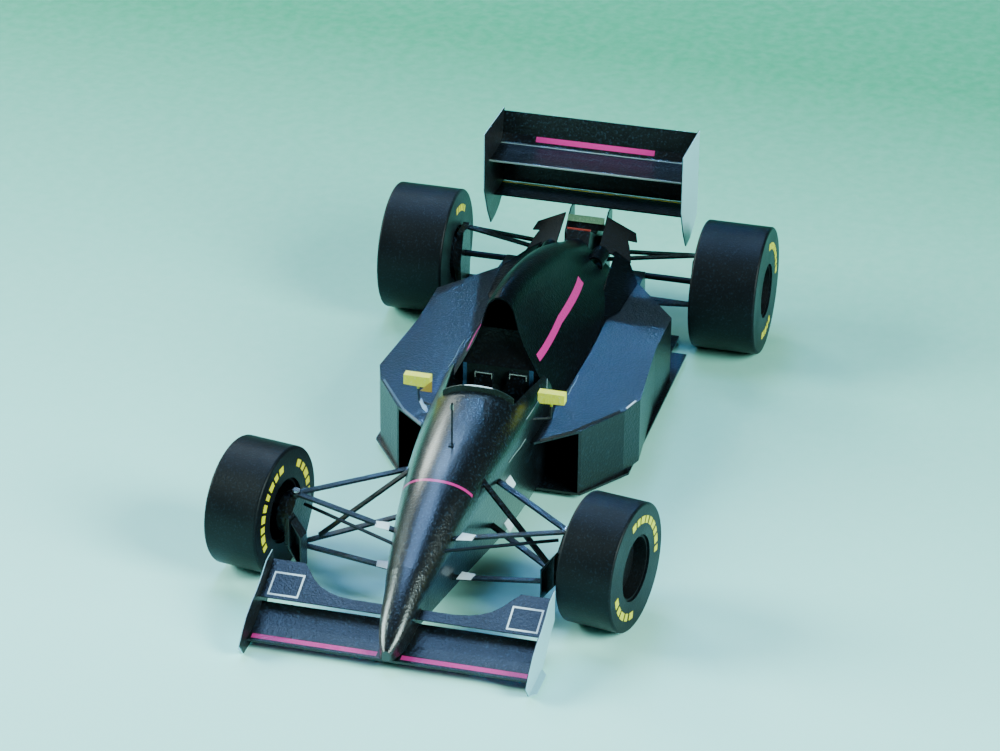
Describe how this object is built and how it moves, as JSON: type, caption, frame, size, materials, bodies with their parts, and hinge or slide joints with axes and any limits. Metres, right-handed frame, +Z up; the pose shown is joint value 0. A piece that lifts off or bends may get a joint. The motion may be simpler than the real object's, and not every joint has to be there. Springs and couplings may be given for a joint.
{
  "type": "open wheel racing car model",
  "caption": "Card model of an open wheel racing car with steering front wheels, free rolling wheels, an open cockpit and front and rear wings.",
  "frame": {"origin": "on the ground under the middle of the car", "axes": "+X forward to the nose, +Y to the car's left, +Z up"},
  "size_m": [0.176, 0.0885, 0.0429],
  "materials": {
    "tyre_card": "matt black printed card",
    "rim_card": "matt dark grey printed card",
    "steel_pin": "bright pin head",
    "wire": "black painted wire",
    "yellow_card": "satin yellow printed card",
    "white_card": "white card",
    "red_card": "red printed card",
    "black_card": "satin black printed card"
  },
  "bodies": {
    "chassis": {"antenna": "wire", "cockpit_screen": "black_card", "drive_shaft_left": "black_card", "drive_shaft_right": "black_card", "driver_seat": "black_card", "engine_cover": "black_card", "floor": "black_card", "front_lower_arm_left": "black_card", "front_lower_arm_right": "black_card", "front_upper_arm_left": "black_card", "front_upper_arm_right": "black_card", "front_wing_endplate_left": "white_card", "front_wing_endplate_right": "white_card", "front_wing_flap_left": "black_card", "front_wing_flap_right": "black_card", "front_wing_plane": "black_card", "gearbox_case": "black_card", "headrest": "black_card", "light_box": "black_card", "mirror_left": "yellow_card", "mirror_right": "yellow_card", "monocoque": "black_card", "nose_cone": "black_card", "push_rod_left": "black_card", "push_rod_right": "black_card", "rear_beam_flap": "black_card", "rear_beam_plane": "black_card", "rear_light": "red_card", "rear_lower_arm_left": "black_card", "rear_lower_arm_right": "black_card", "rear_upper_arm_left": "black_card", "rear_upper_arm_right": "black_card", "rear_upright_left": "black_card", "rear_upright_right": "black_card", "rear_wing_endplate_left": "white_card", "rear_wing_endplate_right": "white_card", "rear_wing_flap": "black_card", "rear_wing_plane": "black_card", "rear_wing_pylon_left": "black_card", "rear_wing_pylon_right": "black_card", "sidepod_left": "black_card", "sidepod_right": "black_card", "tail_vane_left": "black_card", "tail_vane_right": "black_card", "track_rod_left": "black_card", "track_rod_right": "black_card"},
    "front_corner_left": {"front_upright_left": "black_card", "kingpin_left": "steel_pin"},
    "front_wheel_left": {"tyre_front_left": "tyre_card", "rim_front_left": "rim_card"},
    "rear_wheel_left": {"tyre_rear_left": "tyre_card", "rim_rear_left": "rim_card"},
    "front_corner_right": {"front_upright_right": "black_card", "kingpin_right": "steel_pin"},
    "front_wheel_right": {"tyre_front_right": "tyre_card", "rim_front_right": "rim_card"},
    "rear_wheel_right": {"tyre_rear_right": "tyre_card", "rim_rear_right": "rim_card"}
  },
  "joints": [
    {"name": "steering_left", "type": "hinge", "parent": "chassis", "child": "front_corner_left", "pos_m": [0.0525, 0.028, 0.0132], "axis": [0, 0, 1], "range_deg": [-3, 22.5]},
    {"name": "front_wheel_spin_left", "type": "hinge", "parent": "front_corner_left", "child": "front_wheel_left", "pos_m": [0.05345, 0.03646, 0.0132], "axis": [0.1693, 0.9856, 0], "continuous": true},
    {"name": "rear_wheel_spin_left", "type": "hinge", "parent": "chassis", "child": "rear_wheel_left", "pos_m": [-0.0688, 0.0355, 0.0142], "axis": [0, 1, 0], "continuous": true},
    {"name": "steering_right", "type": "hinge", "parent": "chassis", "child": "front_corner_right", "pos_m": [0.0525, -0.028, 0.0132], "axis": [0, 0, 1], "range_deg": [-3, 22.5]},
    {"name": "front_wheel_spin_right", "type": "hinge", "parent": "front_corner_right", "child": "front_wheel_right", "pos_m": [0.05057, -0.03629, 0.0132], "axis": [0.1693, 0.9856, 0], "continuous": true},
    {"name": "rear_wheel_spin_right", "type": "hinge", "parent": "chassis", "child": "rear_wheel_right", "pos_m": [-0.0688, -0.0355, 0.0142], "axis": [0, 1, 0], "continuous": true}
  ],
  "couplings": [
    {"joint": "steering_right", "follows": "steering_left", "ratio": 1}
  ]
}
